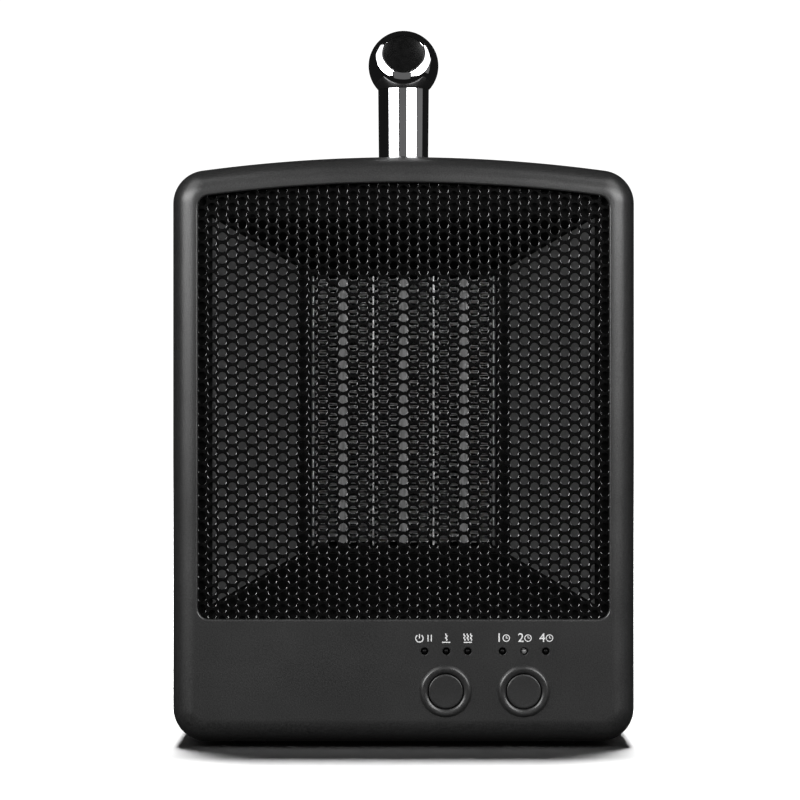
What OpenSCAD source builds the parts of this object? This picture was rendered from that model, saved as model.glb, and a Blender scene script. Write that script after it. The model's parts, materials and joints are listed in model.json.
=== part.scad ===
// Ceramic space heater: a rounded box with a perforated front, a tubular handle,
// a finned ceramic element, an axial fan and two push buttons.
// Millimetres, +Z up, the front faces -Y. The origin is on the floor, under the centre of the body.

/* [Body] */
// Width of the body
body_w = 181.5; // [179:0.5:184]
// Height of the body, from its underside to the crown of the arch
body_h = 230; // [228:1:233]
// Depth of the body, from the front face to the rear face
body_d = 140; // [138:1:146]
// Rise of the arched top above its ends
arch_rise = 7; // [6:0.5:8]
// Radius of the outline's corners
corner_r = 13.2; // [12.6:0.2:14]
// Radius of the rounded front edge
front_edge_r = 9.3; // [9:0.1:9.5]
// Radius of the rounded rear edge
rear_edge_r = 6; // [5:0.5:7]
// Thickness of the moulded walls
wall = 2.5; // [2.4:0.1:2.6]
// Height of the rubber feet under the body
foot_h = 2; // [1.6:0.1:2.4]

/* [Front] */
// Width of the grille window
window_w = 161; // [158:0.5:161.5]
// Height of the control panel under the window
panel_h = 48.5; // [47.5:0.5:49.5]
// Distance from the crown of the arch down to the window
window_drop = 10.6; // [10:0.1:11.5]
// Distance between neighbouring holes in the grille
hole_pitch = 4.56; // [4.5:0.02:5]
// Diameter of a grille hole
hole_d = 3.7; // [3.2:0.1:3.8]
// Outside diameter of a button's bezel
bezel_d = 20.3; // [19.5:0.1:21]
// Diameter of a button's cap
cap_d = 13.4; // [13:0.1:13.8]

/* [Handle] */
// Distance between the centres of the two posts
handle_span = 84; // [78:1:90]
// Height of the grip's centre above the crown of the body
handle_rise = 38; // [37:0.5:45]
// Diameter of the grip and of the top of each post
bar_d = 20.3; // [19.5:0.1:20.5]
// Diameter of the front elbow's ball
ball_d = 28; // [27.5:0.5:29]
// How far the ball's flat end tips up from the horizontal
cap_tilt = 23; // [0:1:30]

/* [Heater] */
// Height of the heating element's centre and of the fan's axis above the floor
heater_z = 132; // [130:1:134]
// Height of the heating element
element_h = 109; // [100:1:110]
// Distance between the element's tubes
tube_pitch = 24.4; // [23:0.1:25]
// Height of one fold of the element's fins
fold_pitch = 2; // [1.8:0.1:2.4]
// Radius of the fan's blades
fan_r = 47; // [42:1:48]
// Number of fan blades
blade_count = 7; // [5:1:9]

/* [Hidden] */

eps = 0.02;
arc_fn = 256;
round_fn = 64;
hull_fn = 32;
charcoal = [0.22, 0.22, 0.23];
black = [0.06, 0.06, 0.065];
silver = [0.75, 0.76, 0.78];
steel = [0.6, 0.61, 0.63];
brass = [0.8, 0.62, 0.28];
board_green = [0.1, 0.32, 0.18];

// Planes along Y
front_y = -body_d / 2;
rear_y = body_d / 2;
split_y = rear_y - 12;
inner_front_y = front_y + wall;
inner_edge_r = 4.5;

// The outline of the body. An outline is [half width, bottom, arc radius, arc centre height,
// corner radius], and the arc's crown is arc centre height + arc radius.
arch_r = (body_w * body_w / 4 + arch_rise * arch_rise) / (2 * arch_rise);
crown_z = foot_h + body_h;
arch_z = crown_z - arch_r;
body_path = [body_w / 2, foot_h, arch_r, arch_z, corner_r];
inner_path = inset_path(body_path, wall);
floor_z = foot_h + wall;
window_corner_r = 4.5;
window_path = [window_w / 2, foot_h + panel_h, arch_r - window_drop, arch_z, window_corner_r];
sheet_lap = 2.3;
sheet_path = inset_path(window_path, -sheet_lap);

// Sheet, retainer and duct, one behind the other
sheet_t = 0.8;
retainer_t = 1.5;
duct_t = 2;
sheet_y = inner_front_y;
retainer_y = sheet_y + sheet_t;
duct_y = retainer_y + retainer_t;
flange_t = 1.5;
funnel_y = duct_y + 33;
collar_y = funnel_y + 24;
mouth = [150, 151.5];
throat = [84.6, element_h + 6.5];

// Heating element
tube_w = 4.6;
plate_t = 0.8;
element_d = 16;
element_y = funnel_y + 3;
element_w = 3 * tube_pitch + plate_t;
crest_w = 2;
fin_w = (tube_pitch - tube_w - plate_t) / 2;
fit_gap = 0.1;
tab_w = 6;
tab_t = 0.8;

// Fan and motor, along Y from the bulkhead
bulkhead_y = collar_y;
bulkhead_t = 2.5;
fan_bore_r = fan_r + 3;
ring_t = 2.2;
spider_y = bulkhead_y + 28;
spider_t = 4;
motor_y = spider_y + spider_t;
motor_r = 18;
motor_l = 22;
motor_boss_r = 8;
motor_screw_x = 13;
motor_screw_r = 1.4;
motor_screw_l = 6;
small_head_r = 2.6;
small_head_t = 1.8;
screw_clearance = 0.1;
bulkhead_h = 124;
spider_arm_w = 6;
blade_t = 1.6;
blade_chord = 24;
blade_twist = 35;
nut_t = 3;
shaft_r = 1.5;
running_gap = 0.05;
bush_r = 3.5;
hub_r = 15;
hub_l = 17;
hub_y = bulkhead_y + 3;

// Controls
button_x = [16.5, 47];
button_z = foot_h + 20.4;
led_z = foot_h + 36;
led_x = [8.2, 16.7, 25.1, 38.7, 47.2, 55.6];
lit_index = 4;
led_r = 1.3;
bezel_proud = 1;
bezel_neck_r = 9;
board_y = inner_front_y + 9.5;
board_t = 1.6;
board_x = [0, 64];
board_z = [foot_h + 8, foot_h + 44];
post_x = [4, 60];
post_z = [foot_h + 11, foot_h + 41.5];

// Rear cover screws and bosses
boss_x = body_w / 2 - 12;
boss_z = [foot_h + 14, foot_h + 205];
boss_r = 4.5;

// Cord gland
gland_at = [-55, 26];
gland_r = 7;
gland_bore_r = 3.75;

// Power board, screwed to stand-offs on the floor of the shell
power_at = [-72, -38];
power_size = [64, 76];
power_z = floor_z + 8;
standoff_inset = 5;

// Tilt switch
tilt_at = [48, 12];
tilt_pin_z = floor_z + 34;
tilt_arm = 22;
bob_r = 6;
ear_gap = 15;

// Feet
foot_x = 61.5;
foot_y = 48;
foot_r = 7;

// Handle
grip_z = crown_z + handle_rise;
ball_r = ball_d / 2;
bar_r = bar_d / 2;
post_base_r = bar_r - 0.25;
post_flange_t = 0.8;
screw_r = 2.5;
post_top = sqrt(ball_r * ball_r - bar_r * bar_r);
grip_front = bar_r + 0.15;
corner_ball_r = bar_r + 0.1;
corner_reach = bar_r + 2;

// The ball's end: a sloping shoulder round a flat disc
shoulder_r = 11;
shoulder_at = sqrt(ball_r * ball_r - shoulder_r * shoulder_r);
shoulder_h = 1.25;
cap_r = 8.25;
cap_t = 2;

function inset_path(p, i) = [p[0] - i, p[1] + i, p[2] - i, p[3], p[4] - i];
function corner_x(p) = p[0] - p[4];
function corner_z(p) = p[3] + sqrt(pow(p[2] - p[4], 2) - pow(corner_x(p), 2));
function arc_half(p) = asin(corner_x(p) / (p[2] - p[4]));
function arc_top(p, x) = p[3] + sqrt(p[2] * p[2] - x * x);

// The outline as a flat shape: two overlapping rectangles, four corners and a slice of the arc
module arched_outline(p, corner_fn = round_fn) {
  cx = corner_x(p);
  cz = corner_z(p);
  half = arc_half(p);
  far = 1.2 * p[2];
  translate([-cx, p[1]]) square([2 * cx, cz - p[1]]);
  translate([-p[0], p[1] + p[4]]) square([2 * p[0], cz - p[1] - p[4]]);
  for (side = [-1, 1], z = [p[1] + p[4], cz])
    translate([side * cx, z]) circle(p[4], $fn = corner_fn);
  intersection() {
    translate([0, p[3]]) circle(p[2], $fn = arc_fn);
    polygon([[0, p[3]], [-far * sin(half), p[3] + far * cos(half)],
      [far * sin(half), p[3] + far * cos(half)]]);
    translate([-p[0], cz - 1]) square([2 * p[0], body_h]);
  }
}

module arched_prism(p, y0, y1, corner_fn = round_fn) {
  translate([0, y1, 0]) rotate([90, 0, 0]) linear_extrude(y1 - y0) arched_outline(p, corner_fn);
}

// A prism on the outline with a rounded edge of radius r round its front face
module pillow(p, y0, y1, r, steps) hull() for (k = [0 : steps])
  let (a = 90 * k / steps)
    arched_prism(inset_path(p, r * (1 - sin(a))), y0 + r * (1 - cos(a)), y1, hull_fn);

// A cylinder along +Y, from y0 to y1, centred on x and z
module rod_y(x, z, y0, y1, r, r2 = undef) {
  translate([x, y0, z]) rotate([-90, 0, 0])
    cylinder(h = y1 - y0, r1 = r, r2 = is_undef(r2) ? r : r2, $fn = round_fn);
}

module rod_z(x, y, z0, z1, r, r2 = undef) {
  translate([x, y, z0]) cylinder(h = z1 - z0, r1 = r, r2 = is_undef(r2) ? r : r2, $fn = round_fn);
}

// A block of a given width and height about the heater's axis
module heater_block(size, y0, y1) {
  translate([-size[0] / 2, y0, heater_z - size[1] / 2]) cube([size[0], y1 - y0, size[1]]);
}

module at_bosses() {
  for (side = [-1, 1], z = boss_z) translate([side * boss_x, 0, z]) children();
}

module at_motor_screws() {
  for (side = [-1, 1]) translate([side * motor_screw_x, 0, heater_z]) children();
}

module at_feet() {
  for (sx = [-1, 1], sy = [-1, 1]) translate([sx * foot_x, sy * foot_y, 0]) children();
}

module at_standoffs() {
  for (i = [0, 1], j = [0, 1])
    translate([power_at[0] + standoff_inset + i * (power_size[0] - 2 * standoff_inset),
      power_at[1] + standoff_inset + j * (power_size[1] - 2 * standoff_inset), 0]) children();
}

// ---- Casing ----

module front_shell() color(charcoal) {
  difference() {
    union() {
      difference() {
        pillow(body_path, front_y, split_y, front_edge_r, 7);
        pillow(inner_path, inner_front_y, split_y + 1, inner_edge_r, 3);
      }
      at_bosses() rod_y(0, 0, split_y - 30, split_y, boss_r);
      for (side = [-1, 1], z = boss_z)
        translate([side * (boss_x + body_w / 2 - wall / 2) / 2, split_y - 15, z])
          cube([body_w / 2 - wall / 2 - boss_x, 30, 3], center = true);
      for (x = post_x, z = post_z) rod_y(x, z, inner_front_y - eps, board_y, 2.4);
      at_standoffs() rod_z(0, 0, floor_z - eps, power_z, 3);
    }
    arched_prism(window_path, front_y - 1, inner_front_y + 1);
    for (x = button_x) rod_y(x, button_z, front_y - 1, inner_front_y + 1, bezel_neck_r + fit_gap);
    for (x = led_x) rod_y(x, led_z, front_y - 1, inner_front_y + 1, led_r + 0.15);
    at_bosses() rod_y(0, 0, split_y - 24, split_y + 1, 1.5 + fit_gap);
    at_standoffs() rod_z(0, 0, floor_z, power_z + 1, 1.4);
    at_feet() rod_z(0, 0, foot_h - 1, floor_z + 1, 3 + fit_gap);
    for (side = [-1, 1])
      rod_z(0, side * handle_span / 2, crown_z - 2 * wall, crown_z + 1, screw_r + 0.2);
  }
}

// One row of the intake is two slots with round ends, as long as the circle allows
intake_r = 50;
slot_h = 3.2;
slot_pitch = 7;
slot_rows = 6;
slot_gap = 5;
filter_t = 3;
module intake_slots() {
  for (row = [-slot_rows : slot_rows], side = [-1, 1])
    let (reach = sqrt(intake_r * intake_r - pow(row * slot_pitch, 2)))
      translate([0, heater_z + row * slot_pitch]) {
        translate([side > 0 ? slot_gap : -reach, -slot_h / 2]) square([reach - slot_gap, slot_h]);
        for (x = [slot_gap, reach]) translate([side * x, 0]) circle(slot_h / 2, $fn = 32);
      }
}

module rear_cover() color(charcoal) {
  difference() {
    rotate([0, 0, 180]) difference() {
      pillow(body_path, front_y, -split_y, rear_edge_r, 5);
      pillow(inner_path, inner_front_y, -split_y + 1, rear_edge_r - wall, 3);
    }
    translate([0, rear_y + 1, 0]) rotate([90, 0, 0]) linear_extrude(wall + 2) intake_slots();
    rod_y(gland_at[0], gland_at[1], rear_y - wall - 1, rear_y + 1, gland_r + fit_gap);
    at_bosses() rod_y(0, 0, split_y, rear_y + 1, 1.7);
    at_bosses() rod_y(0, 0, rear_y - 1.4, rear_y + 1, 3.3);
  }
}

module intake_filter() color(black)
  rod_y(0, heater_z, rear_y - wall - filter_t, rear_y - wall, intake_r + slot_h);

module front_grille() color(black) {
  col = hole_pitch * sqrt(3) / 2;
  cols = floor(window_path[0] / col);
  rows = ceil(body_h / hole_pitch / 2);
  translate([0, sheet_y + sheet_t, 0]) rotate([90, 0, 0]) linear_extrude(sheet_t) difference() {
    arched_outline(sheet_path);
    for (i = [-cols : cols], k = [-rows : rows])
      let (x = i * col, z = heater_z + (k + (i % 2 == 0 ? 0 : 0.5)) * hole_pitch)
        if (z > window_path[1] && z < arc_top(window_path, x))
          translate([x, z]) circle(hole_d / 2, $fn = 24);
  }
}

module grille_retainer() color(black)
  translate([0, duct_y, 0]) rotate([90, 0, 0]) linear_extrude(retainer_t) difference() {
    arched_outline(sheet_path);
    arched_outline(inset_path(window_path, -0.3));
  }

// ---- Duct and heating element ----

module funnel(grow) hull() {
  heater_block(mouth + grow * [1, 1], duct_y, duct_y + eps);
  heater_block(throat + grow * [1, 1], funnel_y, funnel_y + eps);
}

module tab_slots(y0, y1) {
  for (i = [-1 : 1]) translate([i * tube_pitch, (y0 + y1) / 2, heater_z - throat[1] / 2])
    cube([tab_t + 1, y1 - y0, 3 * duct_t + 3], center = true);
}

module air_duct() color(black) difference() {
  union() {
    arched_prism(sheet_path, duct_y, duct_y + flange_t);
    funnel(2 * duct_t);
    heater_block(throat + 2 * duct_t * [1, 1], funnel_y, collar_y);
  }
  funnel(0);
  heater_block(mouth, duct_y - 1, duct_y + eps);
  heater_block(throat, funnel_y, collar_y + 1);
  tab_slots(element_y + 4, element_y + 6 + tab_w);
}

module element_frame() color(black) difference() {
  heater_block(throat - 2 * fit_gap * [1, 1], element_y - 2, collar_y - fit_gap);
  heater_block([element_w + 0.4, element_h + 0.4], element_y - 3, collar_y + 1);
  tab_slots(element_y + 4, element_y + 6 + tab_w);
}

module ptc_tube(i) color(silver) translate([i * tube_pitch, element_y + element_d / 2, heater_z])
  cube([tube_w, element_d, element_h], center = true);

// A fin is one strip folded to and fro between a tube and a plate
module fold_strip() {
  rise = fold_pitch / 2;
  turns = floor(element_h / rise) - 1;
  near = fit_gap;
  far = fin_w - fit_gap - crest_w;
  one_side = [for (k = [0 : turns]) [k % 2 == 0 ? near : far, k * rise]];
  other_side = [for (k = [turns : -1 : 0]) [(k % 2 == 0 ? near : far) + crest_w, k * rise]];
  translate([0, -turns * rise / 2]) polygon(concat(one_side, other_side));
}

module ptc_fins(i) color(silver) for (side = [0, 1])
  translate([i * tube_pitch, element_y + element_d - 0.5, heater_z]) mirror([side, 0, 0])
    translate([tube_w / 2, 0, 0]) rotate([90, 0, 0]) linear_extrude(element_d - 1) fold_strip();

module ptc_plates() color(silver) for (i = [-1.5 : 1.5])
  translate([i * tube_pitch, element_y + element_d / 2, heater_z])
    cube([plate_t, element_d, element_h], center = true);

module element_terminals() color(brass) for (i = [-1 : 1])
  translate([i * tube_pitch - tab_t / 2, element_y + 5, heater_z - element_h / 2 - 18])
    cube([tab_t, tab_w, 18]);

module thermostat() color(steel) translate([0, funnel_y + 12, heater_z + throat[1] / 2 + duct_t])
  union() {
    cylinder(h = 5, r = 8.5, $fn = round_fn);
    translate([0, 0, 5]) cylinder(h = 4, r = 6, $fn = round_fn);
    for (x = [-4, 4]) translate([x - 1.5, -0.4, 9]) cube([3, 0.8, 6]);
  }

module thermal_fuse() color(silver)
  translate([18, funnel_y + 12, heater_z + throat[1] / 2 + duct_t + 2.4]) rotate([0, 90, 0]) {
    cylinder(h = 14, r = 2, $fn = round_fn);
    translate([0, 0, -4]) cylinder(h = 22, r = 0.5, $fn = 32);
  }

// ---- Fan ----

module fan_bulkhead() color(black) difference() {
  union() {
    difference() {
      union() {
        heater_block([body_w - 2 * wall - 2 * fit_gap, bulkhead_h], bulkhead_y, bulkhead_y + bulkhead_t);
        rod_y(0, heater_z, bulkhead_y, motor_y, fan_bore_r + ring_t);
      }
      rod_y(0, heater_z, bulkhead_y - 1, motor_y + 1, fan_bore_r);
    }
    rod_y(0, heater_z, spider_y, motor_y, motor_r + 4);
    for (turn = [45, 135]) translate([0, spider_y + spider_t / 2, heater_z]) rotate([0, turn, 0])
      cube([2 * fan_bore_r + ring_t, spider_t, spider_arm_w], center = true);
  }
  rod_y(0, heater_z, spider_y - 1, motor_y + 1, motor_boss_r + fit_gap);
  at_motor_screws() rod_y(0, 0, spider_y - 1, motor_y + 1, motor_screw_r + screw_clearance);
}

module fan_motor() color(steel) difference() {
  union() {
    rod_y(0, heater_z, motor_y, motor_y + motor_l, motor_r);
    rod_y(0, heater_z, spider_y, motor_y, motor_boss_r);
    rod_y(0, heater_z, motor_y + motor_l, motor_y + motor_l + 4, 6);
  }
  rod_y(0, heater_z, spider_y - 1, motor_y + motor_l + 3, bush_r + eps);
  at_motor_screws() rod_y(0, 0, motor_y - 1, motor_y + motor_screw_l + 1, motor_screw_r + screw_clearance);
}

module motor_bushes() color(brass) for (y = [spider_y + 0.5, motor_y + motor_l - 3]) difference() {
  rod_y(0, heater_z, y, y + 5, bush_r);
  rod_y(0, heater_z, y - 1, y + 6, shaft_r + running_gap);
}

module motor_screws() color(silver) at_motor_screws() {
  rod_y(0, 0, spider_y - small_head_t, spider_y, small_head_r);
  rod_y(0, 0, spider_y, motor_y + motor_screw_l, motor_screw_r);
}

module motor_shaft() color(silver)
  rod_y(0, heater_z, hub_y - 5, motor_y + motor_l + 2.5, shaft_r);

module impeller() color(black) difference() {
  union() {
    rod_y(0, heater_z, hub_y, hub_y + 3, hub_r - 3, hub_r);
    rod_y(0, heater_z, hub_y + 3, hub_y + hub_l, hub_r);
    intersection() {
      rod_y(0, heater_z, hub_y, hub_y + hub_l, fan_r);
      for (i = [0 : blade_count - 1]) translate([0, hub_y + hub_l / 2, heater_z])
        rotate([0, i * 360 / blade_count, 0]) translate([(hub_r + fan_r) / 2 + 1, 0, 0])
          rotate([blade_twist, 0, 0]) cube([fan_r - hub_r + 6, blade_t, blade_chord], center = true);
    }
  }
  rod_y(0, heater_z, hub_y - 1, hub_y + hub_l + 1, shaft_r + eps);
}

module impeller_nut() color(silver) difference() {
  translate([0, hub_y - nut_t, heater_z]) rotate([-90, 0, 0]) cylinder(h = nut_t, r = 3.2, $fn = 6);
  rod_y(0, heater_z, hub_y - nut_t - 1, hub_y + 1, shaft_r + eps);
}

// ---- Controls ----

module control_board() color(board_green) difference() {
  translate([board_x[0], board_y, board_z[0]])
    cube([board_x[1] - board_x[0], board_t, board_z[1] - board_z[0]]);
  for (x = post_x, z = post_z) rod_y(x, z, board_y - 1, board_y + board_t + 1, 1.3);
}

// The button's stem enters a well in the switch
switch_t = 3.6;
switch_well = 2.6;
stem_r = 1.5;
module push_switch(x) color(steel) difference() {
  translate([x - 3, board_y - switch_t, button_z - 3]) cube([6, switch_t, 6]);
  rod_y(x, button_z, board_y - switch_t - 1, board_y - switch_t + switch_well, stem_r + 0.4);
}

module led(x) {
  tip_y = front_y + 0.6;
  rod_y(x, led_z, tip_y + led_r, board_y, led_r);
  intersection() {
    translate([x, tip_y + led_r, led_z]) sphere(led_r, $fn = 32);
    rod_y(x, led_z, tip_y - 1, tip_y + led_r, led_r + 1);
  }
  rod_y(x, led_z, board_y - 1, board_y, led_r + 0.4);
}

module status_leds() color(black)
  for (i = [0 : len(led_x) - 1]) if (i != lit_index) led(led_x[i]);
module lit_led() color([0.8, 0.82, 0.85]) led(led_x[lit_index]);

// Bezel and cap are turned about the button's axis: each point is [radius, depth behind the front]
cap_gap = 0.3;
bezel_depth = 4;
edge_chamfer = 0.4;
flange_proud = 1.6;
stem_end = board_y - switch_t - front_y + 0.3;
module turned_button(x, points)
  translate([x, front_y, button_z]) rotate([-90, 0, 0]) rotate_extrude($fn = round_fn) polygon(points);

module bezel(x) color(charcoal) turned_button(x, [
  [cap_d / 2 + cap_gap, -bezel_proud], [bezel_d / 2 - 0.9, -bezel_proud], [bezel_d / 2, 0],
  [bezel_neck_r, 0], [bezel_neck_r, bezel_depth], [cap_d / 2 + cap_gap, bezel_depth]]);

module button(x) color(charcoal) turned_button(x, [
  [0, -bezel_proud], [cap_d / 2 - edge_chamfer, -bezel_proud], [cap_d / 2, edge_chamfer - bezel_proud],
  [cap_d / 2, bezel_depth + 0.05], [cap_d / 2 + flange_proud, bezel_depth + 0.05],
  [cap_d / 2 + flange_proud, bezel_depth + 1.05], [stem_r, bezel_depth + 1.05],
  [stem_r, stem_end], [0, stem_end]]);

// ---- Power supply and tilt switch ----

board_top = power_z + board_t;
module power_board() color(board_green) difference() {
  translate([power_at[0], power_at[1], power_z]) cube([power_size[0], power_size[1], board_t]);
  at_standoffs() rod_z(0, 0, power_z - 1, board_top + 1, 1.6);
}
module on_board(x, y) translate([power_at[0] + x, power_at[1] + y, board_top]) children();
module relay() color(black) on_board(24, 38) cube([15, 19, 15.5]);
module capacitor() color([0.75, 0.6, 0.15]) on_board(20, 12) cube([18, 8.5, 14]);
module terminal_block() color([0.15, 0.3, 0.2]) difference() {
  on_board(4, 56) cube([16, 9, 12]);
  for (i = [0 : 2]) on_board(6.8 + i * 5.2, 60.5) translate([0, 0, 4]) cylinder(h = 9, r = 1.6, $fn = 32);
}
module board_screws() color(silver) at_standoffs() {
  rod_z(0, 0, board_top, board_top + small_head_t, small_head_r);
  rod_z(0, 0, floor_z + 1, board_top, 1.3);
}

module tilt_bracket() color(steel) translate([tilt_at[0], tilt_at[1], 0]) difference() {
  union() {
    translate([-9, -ear_gap / 2 - 2, floor_z]) cube([18, ear_gap + 4, 1.5]);
    for (side = [-1, 1]) translate([0, side * (ear_gap / 2 + 1), 0]) {
      translate([-4, -1, floor_z + 1]) cube([8, 2, tilt_pin_z - floor_z - 1]);
      rod_y(0, tilt_pin_z, -1, 1, 4);
    }
  }
  rod_y(0, tilt_pin_z, -ear_gap, ear_gap, shaft_r + eps);
}
module tilt_pin() color(silver) translate([tilt_at[0], tilt_at[1], 0]) union() {
  rod_y(0, tilt_pin_z, -ear_gap / 2 - 2, ear_gap / 2 + 2, shaft_r);
  rod_y(0, tilt_pin_z, -ear_gap / 2 - 3.2, -ear_gap / 2 - 2, shaft_r + 1);
}
module tilt_pendulum() color(brass) translate([tilt_at[0], tilt_at[1], 0]) difference() {
  union() {
    rod_y(0, tilt_pin_z, -3, 3, 3.4);
    rod_z(0, 0, tilt_pin_z - tilt_arm, tilt_pin_z - 2.5, 1.4);
    rod_y(0, tilt_pin_z - tilt_arm, -5, 5, bob_r);
  }
  rod_y(0, tilt_pin_z, -5, 5, shaft_r + running_gap);
}

module cord_gland() color(black) difference() {
  union() {
    rod_y(gland_at[0], gland_at[1], rear_y - 13, rear_y, gland_r);
    rod_y(gland_at[0], gland_at[1], rear_y, rear_y + bezel_proud, gland_r + 2);
  }
  rod_y(gland_at[0], gland_at[1], rear_y - 14, rear_y + 2, gland_bore_r);
}

module foot(sx, sy) color(black) translate([sx * foot_x, sy * foot_y, 0]) {
  rod_z(0, 0, 0, 0.5, foot_r - 0.5, foot_r);
  rod_z(0, 0, 0.5, foot_h, foot_r);
  rod_z(0, 0, foot_h, floor_z + 1.5, 3);
}

// ---- Handle ----

module at_post(side) translate([0, side * handle_span / 2, 0]) children();

module post_flange(side) color(silver) at_post(side) difference() {
  rod_z(0, 0, crown_z, crown_z + post_flange_t, bar_r + 2);
  rod_z(0, 0, crown_z - 1, crown_z + post_flange_t + 1, screw_r + 0.2);
}

module post(side, top) color(silver) at_post(side) difference() {
  rod_z(0, 0, crown_z + post_flange_t, grip_z - top, post_base_r, bar_r);
  rod_z(0, 0, crown_z, crown_z + 20, screw_r + fit_gap);
}

// Turns its children so that their +Z points forwards from the ball, tipped up by the tilt
module face_out() at_post(-1) translate([0, 0, grip_z]) rotate([90 - cap_tilt, 0, 0]) children();

// The front elbow is a ball that stands on the post, cut flat for the post and for the grip
module ball_elbow() color(silver) difference() {
  union() {
    difference() {
      at_post(-1) translate([0, 0, grip_z]) sphere(ball_r, $fn = 96);
      face_out() translate([0, 0, shoulder_at]) cylinder(h = ball_r, r = ball_r, $fn = round_fn);
    }
    face_out() translate([0, 0, shoulder_at - 1]) cylinder(h = 1, r = shoulder_r - eps, $fn = round_fn);
    face_out() translate([0, 0, shoulder_at])
      cylinder(h = shoulder_h, r1 = shoulder_r - eps, r2 = cap_r + 0.3, $fn = round_fn);
  }
  face_out() translate([0, 0, shoulder_at + shoulder_h - cap_t])
    cylinder(h = cap_t + 1, r = cap_r + fit_gap, $fn = round_fn);
  at_post(-1) rod_z(0, 0, grip_z - ball_r - 1, grip_z - post_top, ball_r);
  at_post(-1) rod_y(0, grip_z, grip_front, ball_r + 1, ball_r);
}

// The rear elbow is a plain rounded corner of tube
module tube_elbow() color(silver) at_post(1) union() {
  translate([0, 0, grip_z]) sphere(corner_ball_r, $fn = 96);
  rod_z(0, 0, grip_z - corner_reach, grip_z, bar_r);
  rod_y(0, grip_z, -corner_reach, 0, bar_r);
}

module end_cap() color(black) face_out() translate([0, 0, shoulder_at + shoulder_h - cap_t])
  cylinder(h = cap_t, r = cap_r, $fn = round_fn);

module handle_grip() color(silver) difference() {
  rod_y(0, grip_z, grip_front - handle_span / 2, handle_span / 2 - corner_reach, bar_r);
  rod_y(0, grip_z, -handle_span, handle_span, bar_r - 2);
}

module handle_screws() color(steel) for (side = [-1, 1]) translate([0, side * handle_span / 2, 0]) {
  rod_z(0, 0, crown_z - wall - 3.2, crown_z - wall - 0.2, 4.2);
  rod_z(0, 0, crown_z - wall - 0.2, crown_z + 18, screw_r);
}

module rear_screws() color(steel) at_bosses() {
  rod_y(0, 0, rear_y - 1.4, rear_y - 0.1, 3.1);
  rod_y(0, 0, split_y - 20, rear_y - 1.4, 1.5);
}

// ---- Wires ----

function curve_point(a, b, c, d, t) =
  pow(1 - t, 3) * a + 3 * t * pow(1 - t, 2) * b + 3 * t * t * (1 - t) * c + pow(t, 3) * d;
module wire(a, b, c, d, r) {
  steps = 10;
  for (i = [0 : steps - 1]) hull() {
    translate(curve_point(a, b, c, d, i / steps)) sphere(r, $fn = 8);
    translate(curve_point(a, b, c, d, (i + 1) / steps)) sphere(r, $fn = 8);
  }
}

wire_r = 1.1;
module heater_wires() color([0.7, 0.12, 0.1]) for (i = [-1 : 1]) {
  tab = [i * tube_pitch, element_y + 5 + tab_w / 2, heater_z - element_h / 2 - 18 - wire_r - fit_gap];
  pin = [power_at[0] + 46 + i * 5, power_at[1] + 30, board_top + wire_r + fit_gap];
  wire(tab, tab - [0, 0, 22], pin + [0, 0, 30], pin, wire_r);
}
module motor_wires() color([0.1, 0.2, 0.55]) for (i = [-1, 1]) {
  lug = [i * 3, motor_y + motor_l / 2, heater_z - motor_r - wire_r - 0.6];
  pin = [power_at[0] + 56 + i * 3, power_at[1] + 66, board_top + wire_r + fit_gap];
  wire(lug, lug - [0, 0, 45], pin + [0, 0, 40], pin, wire_r);
}

front_shell();
rear_cover();
intake_filter();
front_grille();
grille_retainer();
air_duct();
element_frame();
ptc_tube(-1);  // ptc_tube_left
ptc_tube(0);  // ptc_tube_middle
ptc_tube(1);  // ptc_tube_right
ptc_fins(-1);  // ptc_fins_left
ptc_fins(0);  // ptc_fins_middle
ptc_fins(1);  // ptc_fins_right
ptc_plates();
element_terminals();
fan_bulkhead();
fan_motor();
motor_bushes();
motor_screws();
motor_shaft();
impeller();
impeller_nut();
thermostat();
thermal_fuse();
control_board();
push_switch(button_x[0]);  // mode_switch
push_switch(button_x[1]);  // timer_switch
status_leds();
lit_led();
bezel(button_x[0]);  // mode_bezel
bezel(button_x[1]);  // timer_bezel
button(button_x[0]);  // mode_button
button(button_x[1]);  // timer_button
power_board();
relay();
capacitor();
terminal_block();
board_screws();
tilt_bracket();
tilt_pin();
tilt_pendulum();
cord_gland();
foot(-1, -1);  // foot_front_left
foot(1, -1);  // foot_front_right
foot(-1, 1);  // foot_rear_left
foot(1, 1);  // foot_rear_right
post_flange(-1);  // post_flange_front
post_flange(1);  // post_flange_rear
post(-1, post_top);  // post_front
post(1, corner_reach);  // post_rear
ball_elbow();  // elbow_front
tube_elbow();  // elbow_rear
end_cap();
handle_grip();
handle_screws();
rear_screws();
heater_wires();
motor_wires();
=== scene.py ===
"""The looks of a ceramic space heater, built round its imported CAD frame.

Metres, +Z up, the front faces -Y. Places come from the CAD nodes' boxes.
"""
import json
import math

import bpy
import bmesh
from mathutils import Matrix, Vector


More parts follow.
